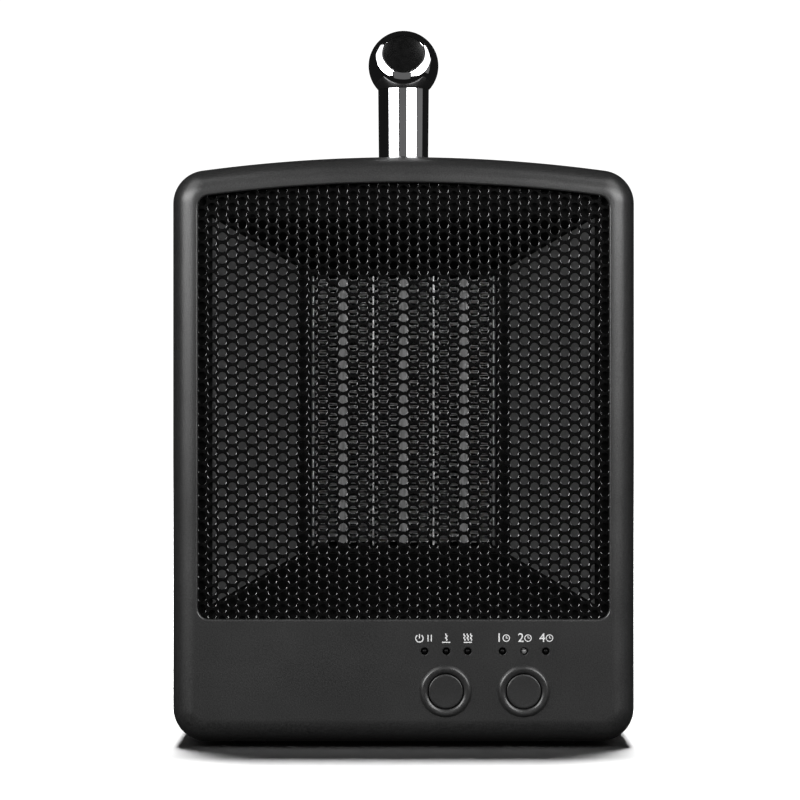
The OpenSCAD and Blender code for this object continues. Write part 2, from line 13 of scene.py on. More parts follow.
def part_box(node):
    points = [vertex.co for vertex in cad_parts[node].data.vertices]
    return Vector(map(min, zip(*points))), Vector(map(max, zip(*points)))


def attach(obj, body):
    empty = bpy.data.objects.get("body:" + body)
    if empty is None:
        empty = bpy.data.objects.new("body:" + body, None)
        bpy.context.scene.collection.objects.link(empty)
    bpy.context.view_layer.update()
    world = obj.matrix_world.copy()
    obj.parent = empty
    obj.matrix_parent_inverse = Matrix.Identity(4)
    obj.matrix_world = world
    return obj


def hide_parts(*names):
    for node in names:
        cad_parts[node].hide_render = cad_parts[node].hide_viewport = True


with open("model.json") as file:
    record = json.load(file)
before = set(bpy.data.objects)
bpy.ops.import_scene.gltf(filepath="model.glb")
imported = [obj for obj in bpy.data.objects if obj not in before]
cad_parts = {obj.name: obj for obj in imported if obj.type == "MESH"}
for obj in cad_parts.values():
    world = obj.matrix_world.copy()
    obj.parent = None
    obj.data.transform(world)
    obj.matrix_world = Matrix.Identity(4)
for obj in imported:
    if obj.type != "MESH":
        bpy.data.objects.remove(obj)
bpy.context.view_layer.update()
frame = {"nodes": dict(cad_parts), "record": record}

MM = 0.001
NODE_BODY = {n: b for b, ns in frame["record"]["behaviour"]["bodies"].items() for n in ns}

# ---- Sizes read from the frame ----
shell_lo, shell_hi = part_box("front_shell")
cover_lo, cover_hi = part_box("rear_cover")
sheet_lo, sheet_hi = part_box("front_grille")
plates_lo, plates_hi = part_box("ptc_plates")
FRONT_Y = shell_lo.y
SPLIT_Y = cover_lo.y
REAR_Y = cover_hi.y
HALF_W = shell_hi.x
UNDERSIDE = shell_lo.z
CROWN = shell_hi.z
HEATER_Z = (plates_lo.z + plates_hi.z) / 2

# ---- Sizes of the moulding that a box doesn't give ----
ARCH_RISE = 7 * MM
CORNER_R = 13.2 * MM
FRONT_EDGE_R = 9.3 * MM
REAR_EDGE_R = 6 * MM
WALL = 2.5 * MM
SHEET_LAP = 2.3 * MM
WINDOW_CORNER_R = 4.5 * MM
WINDOW_HALF = sheet_hi.x - SHEET_LAP
WINDOW_BOTTOM = sheet_lo.z + SHEET_LAP
ARCH_R = (HALF_W ** 2 + ARCH_RISE ** 2) / (2 * ARCH_RISE)
ARCH_Z = CROWN - ARCH_R
WINDOW_DROP = CROWN - (sheet_hi.z - SHEET_LAP)
HOLE_PITCH = 4.56 * MM
HOLE_R = 1.86 * MM


# ---- Mesh helpers ----

def mesh_object(name, verts, faces, sharp=35):
    mesh = bpy.data.meshes.new(name)
    mesh.from_pydata([tuple(v) for v in verts], [], faces)
    mesh.validate()
    obj = bpy.data.objects.new(name, mesh)
    bpy.context.scene.collection.objects.link(obj)
    bm = bmesh.new()
    bm.from_mesh(mesh)
    bmesh.ops.recalc_face_normals(bm, faces=bm.faces)
    bm.to_mesh(mesh)
    bm.free()
    smooth(obj, sharp)
    return obj


def smooth(obj, sharp=35):
    obj.data.shade_smooth()
    obj.data.set_sharp_from_angle(angle=math.radians(sharp))


def apply_modifier(obj, kind, **settings):
    mod = obj.modifiers.new(kind.lower(), kind)
    for key, value in settings.items():
        setattr(mod, key, value)
    bpy.context.view_layer.objects.active = obj
    with bpy.context.temp_override(object=obj, active_object=obj, selected_objects=[obj]):
        bpy.ops.object.modifier_apply(modifier=mod.name)


def weigh_normals(obj):
    apply_modifier(obj, "WEIGHTED_NORMAL", keep_sharp=True, weight=100)


def cut(obj, cutters):
    for cutter in cutters:
        apply_modifier(obj, "BOOLEAN", operation="DIFFERENCE", solver="EXACT", object=cutter)
        bpy.data.objects.remove(cutter)


def join(objs, name):
    """One new object from several, made by copying their meshes into a new mesh; the old objects are
    removed.
    """
    bm = bmesh.new()
    for obj in objs:
        bm.from_mesh(obj.data)
    mesh = bpy.data.meshes.new(name)
    bm.to_mesh(mesh)
    bm.free()
    for obj in objs:
        bpy.data.objects.remove(obj)
    made = bpy.data.objects.new(name, mesh)
    bpy.context.scene.collection.objects.link(made)
    return made


def place(obj, matrix):
    obj.data.transform(matrix)
    obj.data.update()


def axis_matrix(origin, direction):
    """Turns +Z towards direction and moves to origin."""
    turn = Vector(direction).normalized().to_track_quat("Z", "Y").to_matrix().to_4x4()
    return Matrix.Translation(origin) @ turn


def lathe(name, profile, origin, direction, segments=96, sharp=35):
    """A solid of revolution. The profile is (radius, height) pairs; a radius of 0 is a pole."""
    verts, rings = [], []
    for radius, height in profile:
        if radius < 1e-7:
            rings.append([len(verts)])
            verts.append((0, 0, height))
            continue
        rings.append(list(range(len(verts), len(verts) + segments)))
        for i in range(segments):
            a = 2 * math.pi * i / segments
            verts.append((radius * math.cos(a), radius * math.sin(a), height))
    faces = []
    for low, high in zip(rings, rings[1:]):
        for i in range(segments):
            j = (i + 1) % segments
            if len(low) == 1 and len(high) == 1:
                continue
            if len(low) == 1:
                faces.append((low[0], high[i], high[j]))
            elif len(high) == 1:
                faces.append((low[i], low[j], high[0]))
            else:
                faces.append((low[i], low[j], high[j], high[i]))
    obj = mesh_object(name, verts, faces, sharp)
    place(obj, axis_matrix(origin, direction))
    return obj


def closed(profile):
    """A lathe profile that comes back to its start, for a ring."""
    return profile + [profile[0]]


def round_corner(centre, radius, start, stop, steps):
    """Points of an arc in (r, h), from angle start to stop in degrees."""
    points = []
    for i in range(steps + 1):
        a = math.radians(start + (stop - start) * i / steps)
        points.append((centre[0] + radius * math.cos(a), centre[1] + radius * math.sin(a)))
    return points


def bridge(loops, loop_closed=True):
    """Faces between successive loops of equal length; verts are the loops end to end."""
    verts = [v for loop in loops for v in loop]
    n = len(loops[0])
    faces = []
    for k in range(len(loops) - 1 + (1 if loop_closed else 0)):
        a, b = k * n, ((k + 1) % len(loops)) * n
        faces += [(a + i, a + (i + 1) % n, b + (i + 1) % n, b + i) for i in range(n)]
    return verts, faces


# ---- The arched outline ----

CORNER_STEPS = 16
ARC_STEPS = 64


def outline(inset=0.0, path=None):
    """Points (x, z) of the body's outline moved inwards, always the same count and order."""
    half, bottom, arc_r, corner = path or (HALF_W, UNDERSIDE, ARCH_R, CORNER_R)
    half, bottom, arc_r = half - inset, bottom + inset, arc_r - inset
    corner = max(corner - inset, 0.4 * MM)
    cx = half - corner
    top = ARCH_Z + math.sqrt((arc_r - corner) ** 2 - cx ** 2)
    lean = math.asin(cx / (arc_r - corner))
    points = []

    def turn(x, z, start, stop, steps, r=corner):
        for i in range(steps + 1):
            a = start + (stop - start) * i / steps
            points.append((x + r * math.cos(a), z + r * math.sin(a)))

    quarter = math.pi / 2
    turn(cx, bottom + corner, -quarter, 0, CORNER_STEPS)
    turn(cx, top, 0, quarter - lean, CORNER_STEPS)
    for i in range(1, ARC_STEPS):
        a = lean - 2 * lean * i / ARC_STEPS
        points.append((arc_r * math.sin(a), ARCH_Z + arc_r * math.cos(a)))
    turn(-cx, top, quarter + lean, math.pi, CORNER_STEPS)
    turn(-cx, bottom + corner, math.pi, 1.5 * math.pi, CORNER_STEPS)
    return points


WINDOW = (WINDOW_HALF, WINDOW_BOTTOM, ARCH_R - WINDOW_DROP, WINDOW_CORNER_R)


def at_y(points, y):
    return [(x, y, z) for x, z in points]


def edge_loops(y0, r, steps, sign=1, thickness=0.0):
    """Loops of a rounded edge that starts on a flat face at y0 and ends on the side wall."""
    loops = []
    for i in range(steps + 1):
        a = math.pi / 2 * i / steps
        loops.append(at_y(outline(thickness + r * (1 - math.sin(a))), y0 + sign * r * (1 - math.cos(a))))
    return loops


# ---- Materials ----

def new_material(name):
    mat = bpy.data.materials.new(name)
    mat.use_nodes = True
    tree = mat.node_tree
    bsdf = tree.nodes["Principled BSDF"]
    return mat, tree, bsdf


def noise(tree, scale, detail=3.0, stretch=(1, 1, 1), rough=0.55):
    coord = tree.nodes.new("ShaderNodeTexCoord")
    mapping = tree.nodes.new("ShaderNodeMapping")
    mapping.inputs["Scale"].default_value = stretch
    tree.links.new(coord.outputs["Object"], mapping.inputs["Vector"])
    tex = tree.nodes.new("ShaderNodeTexNoise")
    tex.inputs["Scale"].default_value = scale
    tex.inputs["Detail"].default_value = detail
    tex.inputs["Roughness"].default_value = rough
    tree.links.new(mapping.outputs["Vector"], tex.inputs["Vector"])
    return tex.outputs["Fac"]


def ramp(tree, fac, low, high, start=0.3, stop=0.7):
    node = tree.nodes.new("ShaderNodeValToRGB")
    node.color_ramp.elements[0].position = start
    node.color_ramp.elements[1].position = stop
    as_rgba = [c if isinstance(c, tuple) else (c, c, c) for c in (low, high)]
    node.color_ramp.elements[0].color = (*as_rgba[0], 1)
    node.color_ramp.elements[1].color = (*as_rgba[1], 1)
    tree.links.new(fac, node.inputs["Fac"])
    return node.outputs["Color"]


def bumps(tree, bsdf, fac, strength, distance):
    node = tree.nodes.new("ShaderNodeBump")
    node.inputs["Strength"].default_value = strength
    node.inputs["Distance"].default_value = distance
    tree.links.new(fac, node.inputs["Height"])
    tree.links.new(node.outputs["Normal"], bsdf.inputs["Normal"])


def moulded(name, dark, light, rough=(0.4, 0.5), grain=1800, bump=0.25, depth=0.04 * MM, specular=0.5):
    """Moulded or powder-coated plastic: fine grain in colour, roughness and bump."""
    mat, tree, bsdf = new_material(name)
    fine = noise(tree, grain, 2)
    broad = noise(tree, grain / 40, 4)
    tree.links.new(ramp(tree, fine, dark, light), bsdf.inputs["Base Color"])
    tree.links.new(ramp(tree, broad, rough[0], rough[1]), bsdf.inputs["Roughness"])
    bumps(tree, bsdf, fine, bump, depth)
    bsdf.inputs["Specular IOR Level"].default_value = specular
    return mat


def metal(name, dark, light, rough=(0.2, 0.35), streaks=(1, 1, 1), scale=300, bump=0.1, depth=0.02 * MM):
    """Bare metal with rolling or brushing streaks along one axis."""
    mat, tree, bsdf = new_material(name)
    bsdf.inputs["Metallic"].default_value = 1.0
    lines = noise(tree, scale, 4, streaks)
    tree.links.new(ramp(tree, lines, dark, light), bsdf.inputs["Base Color"])
    tree.links.new(ramp(tree, lines, rough[0], rough[1]), bsdf.inputs["Roughness"])
    bumps(tree, bsdf, lines, bump, depth)
    return mat


def circuit_board(name):
    """Green lacquer with a pattern of copper tracks showing through."""
    mat, tree, bsdf = new_material(name)
    coord = tree.nodes.new("ShaderNodeTexCoord")
    bricks = tree.nodes.new("ShaderNodeTexBrick")
    bricks.inputs["Scale"].default_value = 160
    bricks.inputs["Mortar Size"].default_value = 0.03
    bricks.inputs["Color1"].default_value = (0.008, 0.05, 0.02, 1)
    bricks.inputs["Color2"].default_value = (0.012, 0.07, 0.03, 1)
    bricks.inputs["Mortar"].default_value = (0.05, 0.16, 0.06, 1)
    tree.links.new(coord.outputs["Object"], bricks.inputs["Vector"])
    tree.links.new(bricks.outputs["Color"], bsdf.inputs["Base Color"])
    tree.links.new(ramp(tree, noise(tree, 200), 0.25, 0.4), bsdf.inputs["Roughness"])
    return mat


def side_lit_duct(name):
    """Heat-proof plastic. Surfaces that face sideways get a lighter base colour: painted light standing in
    for the side lamps.
    """
    mat, tree, bsdf = new_material(name)
    geometry = tree.nodes.new("ShaderNodeNewGeometry")
    split = tree.nodes.new("ShaderNodeSeparateXYZ")
    tree.links.new(geometry.outputs["True Normal"], split.inputs["Vector"])
    size = tree.nodes.new("ShaderNodeMath")
    size.operation = "ABSOLUTE"
    tree.links.new(split.outputs["X"], size.inputs[0])
    # Painted light: the base colour is lighter where the surface faces sideways.
    walls = ramp(tree, size.outputs["Value"], 0.003, 0.085, 0.35, 0.6)
    speckle = ramp(tree, noise(tree, 900, 2), 0.8, 1.0)
    mix = tree.nodes.new("ShaderNodeMix")
    mix.data_type, mix.blend_type = "RGBA", "MULTIPLY"
    mix.inputs["Factor"].default_value = 1.0
    tree.links.new(walls, mix.inputs[6])
    tree.links.new(speckle, mix.inputs[7])
    tree.links.new(mix.outputs[2], bsdf.inputs["Base Color"])
    tree.links.new(ramp(tree, noise(tree, 60, 3), 0.5, 0.62), bsdf.inputs["Roughness"])
    bumps(tree, bsdf, noise(tree, 900, 2), 0.2, 0.03 * MM)
    bsdf.inputs["Specular IOR Level"].default_value = 0.05
    return mat


def foam(name):
    """Open-cell foam: pores painted darker than the thin walls, a painted shade standing in for the depth
    of the open cells.
    """
    mat, tree, bsdf = new_material(name)
    coord = tree.nodes.new("ShaderNodeTexCoord")
    cells = tree.nodes.new("ShaderNodeTexVoronoi")
    cells.feature = "DISTANCE_TO_EDGE"
    cells.inputs["Scale"].default_value = 700
    tree.links.new(coord.outputs["Object"], cells.inputs["Vector"])
    # Painted shade: the pores get a darker base colour than the cell walls.
    pores = ramp(tree, cells.outputs["Distance"], 0.03, 0.003, 0.02, 0.25)
    tree.links.new(pores, bsdf.inputs["Base Color"])
    bsdf.inputs["Roughness"].default_value = 0.9
    bumps(tree, bsdf, cells.outputs["Distance"], 0.8, -0.3 * MM)
    return mat


MATERIALS = {
    "body_plastic": moulded("charcoal_satin", (0.004,) * 3, (0.022,) * 3, (0.30, 0.36), 2000, 0.8),
    "cover_plastic": moulded("charcoal_cover", (0.004,) * 3, (0.022,) * 3, (0.34, 0.4), 2000, 0.8),
    "filter_foam": foam("filter_foam"),
    "control_plastic": moulded("control_satin", (0.008,) * 3, (0.022,) * 3, (0.28, 0.34), 2400, 0.5),
    "grille_metal": moulded("black_powder_coat", (0.001,) * 3, (0.003,) * 3, (0.2, 0.26), 1500, 0.04,
                            0.01 * MM, 0.08),
    "duct_plastic": side_lit_duct("duct_black"),
    "fin_aluminium": metal("rolled_aluminium", (0.18,) * 3, (0.34,) * 3, (0.45, 0.6), (1, 1, 0.1), 1500),
    "brass": metal("brass", (0.5, 0.36, 0.13), (0.8, 0.6, 0.28), (0.2, 0.35)),
    "fan_plastic": moulded("fan_black", (0.006,) * 3, (0.012,) * 3, (0.4, 0.5), 700, 0.1),
    "steel": metal("zinc_steel", (0.4,) * 3, (0.66, 0.66, 0.68), (0.25, 0.42)),
    "board": circuit_board("board_green"),
    "component_plastic": moulded("component_blue", (0.02, 0.06, 0.12), (0.03, 0.09, 0.17),
                                 (0.35, 0.45), 900),
    "capacitor_plastic": moulded("capacitor_yellow", (0.5, 0.34, 0.03), (0.62, 0.44, 0.06),
                                 (0.35, 0.5), 700),
    "led_dark": moulded("lens_smoked", (0.001,) * 3, (0.003,) * 3, (0.3, 0.4), 900, 0.05, 0.01 * MM, 0.1),
    # The lit indicator's glow is painted as a pale lens colour, not made to emit light.
    "led_lit": moulded("lens_painted_glow", (0.10,) * 3, (0.16,) * 3, (0.2, 0.3), 1200, 0.3),
    "gland_plastic": moulded("gland_black", (0.006,) * 3, (0.012,) * 3, (0.4, 0.5), 1200, 0.2),
    "rubber": moulded("rubber_black", (0.006,) * 3, (0.014,) * 3, (0.55, 0.7), 1400, 0.3),
    "chrome": metal("polished_chrome", (0.60, 0.60, 0.61), (0.68, 0.68, 0.69), (0.03, 0.06),
                    (1, 1, 1), 40, 0.0),
    "cap_black": moulded("cap_black", (0.002,) * 3, (0.004,) * 3, (0.12, 0.2), 500, 0.03),
    "wire_red": moulded("wire_red", (0.25, 0.015, 0.01), (0.4, 0.03, 0.02), (0.4, 0.5), 900),
    "wire_blue": moulded("wire_blue", (0.01, 0.03, 0.2), (0.02, 0.05, 0.3), (0.4, 0.5), 900),
}
PRINT_WHITE = moulded("print_white", (0.42,) * 3, (0.52,) * 3, (0.5, 0.6), 1500, 0.1)
# Bright metal for the left and right rim facets of the grille holes: a painted highlight where the side
# lamps glint.
LIP_GLINT_METAL = metal("painted_glint_lip", (0.03,) * 3, (0.16,) * 3, (0.12, 0.22), (1, 1, 1), 700, 0.05)
FIN_FOIL = metal("fin_foil", (0.3,) * 3, (0.75,) * 3, (0.25, 0.4), (1, 1, 0.2), 1200)
PLATE_METAL = metal("plate_metal", (0.4,) * 3, (0.8,) * 3, (0.3, 0.45), (1, 1, 0.1), 900)
NODE_SLOT = {s["node"]: s["material_slot"] for s in frame["record"]["subparts"]}


def dress_frame():
    """Every carried-over CAD node gets its slot's procedural material."""
    for name, obj in frame["nodes"].items():
        for slot in obj.material_slots:
            slot.material = MATERIALS[NODE_SLOT[name]]


def piece(obj, node, material=None, extra=()):
    """The object stands for a CAD node and hides it: it rides with the node's body and takes the slot's
    material, or the material given.
    """
    obj.data.materials.clear()
    obj.data.materials.append(material or MATERIALS[NODE_SLOT[node]])
    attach(obj, NODE_BODY[node])
    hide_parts(node, *extra)
    return obj


def trim(obj, node, material):
    """A small piece that no CAD node stands for, riding with one."""
    obj.data.materials.clear()
    obj.data.materials.append(material)
    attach(obj, NODE_BODY[node])
    return obj


# ---- Casing ----

def cylinder_cutter(x, y0, y1, z, r0, r1=None):
    return lathe("cutter", [(0, 0), (r0, 0), (r1 or r0, y1 - y0), (0, y1 - y0)],
                 (x, y0, z), (0, 1, 0), 48)


def node_centre(node):
    lo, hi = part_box(node)
    return (lo + hi) / 2


def led_places():
    """Centres of the six indicators, left to right, from the two LED nodes."""
    co = [v.co for n in ("status_leds", "lit_led") for v in frame["nodes"][n].data.vertices]
    xs = sorted(v.x for v in co)
    groups = [[xs[0]]]
    for x in xs[1:]:
        if x - groups[-1][-1] > 2 * MM:
            groups.append([])
        groups[-1].append(x)
    return [(min(g) + max(g)) / 2 for g in groups], node_centre("lit_led").z


LED_X, LED_Z = led_places()
LED_HOLE_R = 1.45 * MM


def make_front_shell():
    lip = 0.6 * MM
    inner_edge = 4.5 * MM
    loops = [at_y(outline(0, WINDOW), FRONT_Y + WALL)]
    for drop, grow in ((0.9, 0), (0.5, 0.12), (0.25, 0.38), (0.07, 0.75), (0, 1), (0, 1.3)):
        loops.append(at_y(outline(-lip * grow, WINDOW), FRONT_Y + lip * drop))
    loops += edge_loops(FRONT_Y, FRONT_EDGE_R, 20)
    loops.append(at_y(outline(0), SPLIT_Y - 0.3 * MM))
    loops.append(at_y(outline(0.3 * MM), SPLIT_Y))
    loops.append(at_y(outline(WALL), SPLIT_Y))
    loops += edge_loops(FRONT_Y + WALL, inner_edge, 6, 1, WALL)[::-1]
    verts, faces = bridge(loops)
    obj = mesh_object("front_shell_skin", verts, faces)
    cutters = []
    for node in ("mode_bezel", "timer_bezel"):
        c = node_centre(node)
        cutters.append(cylinder_cutter(c.x, FRONT_Y - 2 * MM, FRONT_Y + 4 * MM, c.z, 9.1 * MM))
    for x in LED_X:
        chamfer = 0.25 * MM
        profile = [(0, 0), (LED_HOLE_R + chamfer * 2, 0), (LED_HOLE_R + chamfer, 2 * MM),
                   (LED_HOLE_R, 2 * MM + chamfer), (LED_HOLE_R, 6 * MM), (0, 6 * MM)]
        cutters.append(lathe("cutter", profile, (x, FRONT_Y - 2 * MM, LED_Z), (0, 1, 0), 40))
    cut(obj, cutters)
    smooth(obj, 30)
    weigh_normals(obj)
    return piece(obj, "front_shell")


def make_grille():
    """A punched sheet: one hexagonal cell a hole, with a chamfered round hole in each.

    Only the left and right facets of each rim are bright metal: a painted highlight, placed where the side
    lamps glint.
    """
    column = HOLE_PITCH * math.sqrt(3) / 2
    hex_r = HOLE_PITCH / math.sqrt(3)
    sides = 16
    lip, side_reach = 0.26 * MM, 0.8
    sheet_margin, punched_margin = 2.7 * MM, 1.95 * MM
    rows_reach = 110 * MM
    front, back = sheet_lo.y, sheet_hi.y
    verts, faces, corner_index, rims, glint_lip_faces = [], [], {}, set(), []

    def corner(x, z, y):
        key = (round(x * 1e6), round(z * 1e6), y)
        if key not in corner_index:
            corner_index[key] = len(verts)
            verts.append((x, y, z))
        return corner_index[key]

    def outside(x, z):
        arc = math.hypot(x, z - ARCH_Z) - (ARCH_R - WINDOW_DROP)
        return max(abs(x) - WINDOW_HALF, WINDOW_BOTTOM - z, arc)

    def ring(x, z, r, y):
        start = len(verts)
        for i in range(sides):
            a = 2 * math.pi * i / sides
            verts.append((x + r * math.cos(a), y, z + r * math.sin(a)))
        return list(range(start, start + sides))

    def band(a, b):
        for i in range(sides):
            j = (i + 1) % sides
            faces.append((a[i], a[j], b[j], b[i]))

    def web(corners, hole):
        marks = [round(i * sides / 6) for i in range(7)]
        for i in range(6):
            inner = [hole[k % sides] for k in range(marks[i + 1], marks[i] - 1, -1)]
            faces.append((corners[i], corners[(i + 1) % 6], *inner))

    columns = int(WINDOW_HALF / column) + 2
    rows = int(rows_reach / HOLE_PITCH)
    for i in range(-columns, columns + 1):
        for k in range(-rows, rows + 1):
            x = i * column
            z = HEATER_Z + (k + (0.5 if i % 2 else 0)) * HOLE_PITCH
            gap = outside(x, z)
            if gap > sheet_margin:
                continue
            around = [(x + hex_r * math.cos(math.pi / 3 * j), z + hex_r * math.sin(math.pi / 3 * j))
                      for j in range(6)]
            around = [(max(-sheet_hi.x, min(sheet_hi.x, px)), pz) for px, pz in around]
            near = [corner(px, pz, front) for px, pz in around]
            far = [corner(px, pz, back) for px, pz in around]
            if gap > punched_margin:
                faces.append(tuple(near))
                faces.append(tuple(reversed(far)))
                continue
            throat = HOLE_R - 0.85 * lip
            loops = [ring(x, z, HOLE_R, front), ring(x, z, HOLE_R - 0.5 * lip, front + 0.21 * lip),
                     ring(x, z, throat, front + lip), ring(x, z, throat, back)]
            rims.update(loops[0])
            web(near, loops[0])
            first = len(faces)
            band(loops[0], loops[1])
            # Only the facets that face left or right take the bright metal, a painted highlight.
            glint_lip_faces += [first + i for i in range(sides)
                          if abs(math.cos(2 * math.pi * (i + 0.5) / sides)) > side_reach]
            band(loops[1], loops[2])
            band(loops[2], loops[3])
            web(far, loops[3])
    obj = mesh_object("grille_sheet", verts, faces, 50)
    for edge in obj.data.edges:
        if edge.vertices[0] in rims and edge.vertices[1] in rims:
            edge.use_edge_sharp = True
    piece(obj, "front_grille")
    obj.data.materials.append(LIP_GLINT_METAL)
    for index in glint_lip_faces:
        obj.data.polygons[index].material_index = 1
    return obj


# ---- Rear cover ----

def stadium(x0, x1, z, r, steps=10):
    """A slot's outline with round ends, from x0 to x1 between the ends' centres."""
    right = [(x1 + r * math.cos(a), z + r * math.sin(a)) for a in
             (math.pi * (i / steps - 0.5) for i in range(steps + 1))]
    left = [(x0 - r * math.cos(a), z - r * math.sin(a)) for a in
            (math.pi * (i / steps - 0.5) for i in range(steps + 1))]
    return right + left


def capped(loops):
    verts, faces = bridge(loops, False)
    n = len(loops[0])
    return verts, faces + [tuple(range(n)), tuple(range(len(verts) - n, len(verts)))]


def prism_cutter(stages):
    """A cutter from (loop of (x, z), y) stages."""
    verts, faces = capped([at_y(points, y) for points, y in stages])
    return mesh_object("cutter", verts, faces)


SLOT_R = 1.6 * MM
SLOT_PITCH = 7 * MM
SLOT_ROWS = 6
SLOT_GAP = 5 * MM
INTAKE_R = 50 * MM
BOSS_INSET = 12 * MM
BOSS_Z = (16 * MM, 207 * MM)


def boss_places():
    return [(side * (HALF_W - BOSS_INSET), z) for side in (-1, 1) for z in BOSS_Z]


def make_rear_cover():
    inner_r = REAR_EDGE_R - WALL
    lead = 0.3 * MM
    loops = edge_loops(REAR_Y - WALL, inner_r, 5, -1, WALL)
    loops.append(at_y(outline(WALL), SPLIT_Y))
    loops.append(at_y(outline(lead), SPLIT_Y))
    loops.append(at_y(outline(0), SPLIT_Y + lead))
    loops += edge_loops(REAR_Y, REAR_EDGE_R, 14, -1)[::-1]
    verts, faces = capped(loops)
    obj = mesh_object("rear_cover_skin", verts, faces)
    ease = 0.5 * MM
    cutters = []
    for row in range(-SLOT_ROWS, SLOT_ROWS + 1):
        reach = math.sqrt(INTAKE_R ** 2 - (row * SLOT_PITCH) ** 2)
        z = HEATER_Z + row * SLOT_PITCH
        for x0, x1 in ((-reach, -SLOT_GAP), (SLOT_GAP, reach)):
            cutters.append(prism_cutter([
                (stadium(x0, x1, z, SLOT_R), REAR_Y - 2 * WALL),
                (stadium(x0, x1, z, SLOT_R), REAR_Y - ease),
                (stadium(x0, x1, z, SLOT_R + 2 * ease), REAR_Y + ease)]))
    gland, gland_hole_r = node_centre("cord_gland"), 7.1 * MM
    cutters.append(cylinder_cutter(gland.x, REAR_Y - 2 * WALL, REAR_Y + WALL, gland.z, gland_hole_r))
    hole_r, recess_r, mouth_r = 1.7 * MM, 3.3 * MM, 4.3 * MM
    depth, seat, mouth, outside = 6 * MM, 4.6 * MM, 5.7 * MM, 6.7 * MM
    for x, z in boss_places():
        profile = [(0, 0), (hole_r, 0), (hole_r, seat), (recess_r, seat), (recess_r, mouth),
                   (mouth_r, outside), (0, outside)]
        cutters.append(lathe("cutter", profile, (x, REAR_Y - depth, z), (0, 1, 0), 48))
    cut(obj, [join(cutters, "cutter")])
    smooth(obj, 30)
    weigh_normals(obj)
    return piece(obj, "rear_cover")


def screw(name, origin, direction, head_r, head_h, shank_r, length):
    """A pan-head screw whose head starts at origin and stands proud along direction."""
    r = 0.35 * head_h
    crown = round_corner((head_r - r, head_h - r), r, 0, 70, 5)
    profile = [(0, -length), (shank_r * 0.6, -length), (shank_r, -length + shank_r), (shank_r, 0),
               (head_r, 0)] + crown + [(0, head_h)]
    obj = lathe(name, profile, (0, 0, 0), (0, 0, 1), 40)
    arm, width, depth = head_r * 0.62, head_r * 0.2, head_h * 0.55
    cutters = []
    for long, short in ((arm, width), (width, arm)):
        bm = bmesh.new()
        bmesh.ops.create_cube(bm, size=1, matrix=Matrix.Translation((0, 0, head_h)) @
                              Matrix.Diagonal((2 * long, 2 * short, 2 * depth, 1)))
        mesh = bpy.data.meshes.new("cutter")
        bm.to_mesh(mesh)
        bm.free()
        cutter = bpy.data.objects.new("cutter", mesh)
        bpy.context.scene.collection.objects.link(cutter)
        cutters.append(cutter)
    cut(obj, cutters)
    smooth(obj, 35)
    place(obj, axis_matrix(origin, direction))
    return obj


def make_rear_screws():
    lo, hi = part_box("rear_screws")
    head_r, head_h, shank_r = 3.1 * MM, 1.3 * MM, 1.5 * MM
    length = hi.y - lo.y - head_h
    screws = [screw("screw", (x, hi.y - head_h, z), (0, 1, 0), head_r, head_h, shank_r, length)
              for x, z in boss_places()]
    return piece(join(screws, "cover_screws"), "rear_screws")


def make_gland():
    lo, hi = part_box("cord_gland")
    c = (lo + hi) / 2
    r_out, r_neck, r_bore, flange = (hi.x - lo.x) / 2, 7 * MM, 3.75 * MM, 1 * MM
    length = hi.y - lo.y
    ease = 0.35 * MM
    profile = [(r_bore, ease), (r_bore + ease, 0), (r_neck - ease, 0), (r_neck, ease)]
    profile += [(r_neck, length - flange), (r_out - ease, length - flange)]
    profile += round_corner((r_out - ease, length - ease), ease, 0, 90, 4)
    profile += [(r_bore + 1.4 * MM, length), (r_bore + 0.5 * MM, length - 0.3 * MM),
                (r_bore, length - 1.1 * MM)]
    obj = lathe("gland", closed(profile), (c.x, lo.y, c.z), (0, 1, 0), 64)
    return piece(obj, "cord_gland")


def make_feet():
    for node in ("foot_front_left", "foot_front_right", "foot_rear_left", "foot_rear_right"):
        lo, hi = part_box(node)
        c = (lo + hi) / 2
        r = (hi.x - lo.x) / 2
        ease, groove = 0.5 * MM, 0.35 * MM
        profile = [(0, groove), (1.6 * MM, groove), (2.0 * MM, 0), (3.4 * MM, 0), (3.8 * MM, groove),
                   (4.4 * MM, groove), (4.8 * MM, 0)]
        profile += round_corner((r - ease, ease), ease, -90, 0, 5)
        profile += [(r, UNDERSIDE - 0.2 * MM), (r - 0.2 * MM, UNDERSIDE), (3 * MM, UNDERSIDE),
                    (3 * MM, hi.z - 0.4 * MM), (2.6 * MM, hi.z), (0, hi.z)]
        piece(lathe(node + "_pad", profile, (c.x, c.y, 0), (0, 0, 1), 64), node)


# ---- Handle ----

CAP_TILT = math.radians(23)
BALL_R = 14 * MM
SHOULDER_R = 11 * MM
SHOULDER_AT = math.sqrt(BALL_R ** 2 - SHOULDER_R ** 2)
SHOULDER_H = 1.25 * MM
CAP_R = 8.25 * MM
CAP_T = 2 * MM
grip_lo, grip_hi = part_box("handle_grip")
GRIP_Z = (grip_lo.z + grip_hi.z) / 2
BAR_R = (grip_hi.x - grip_lo.x) / 2
POST_Y = abs(node_centre("post_front").y)


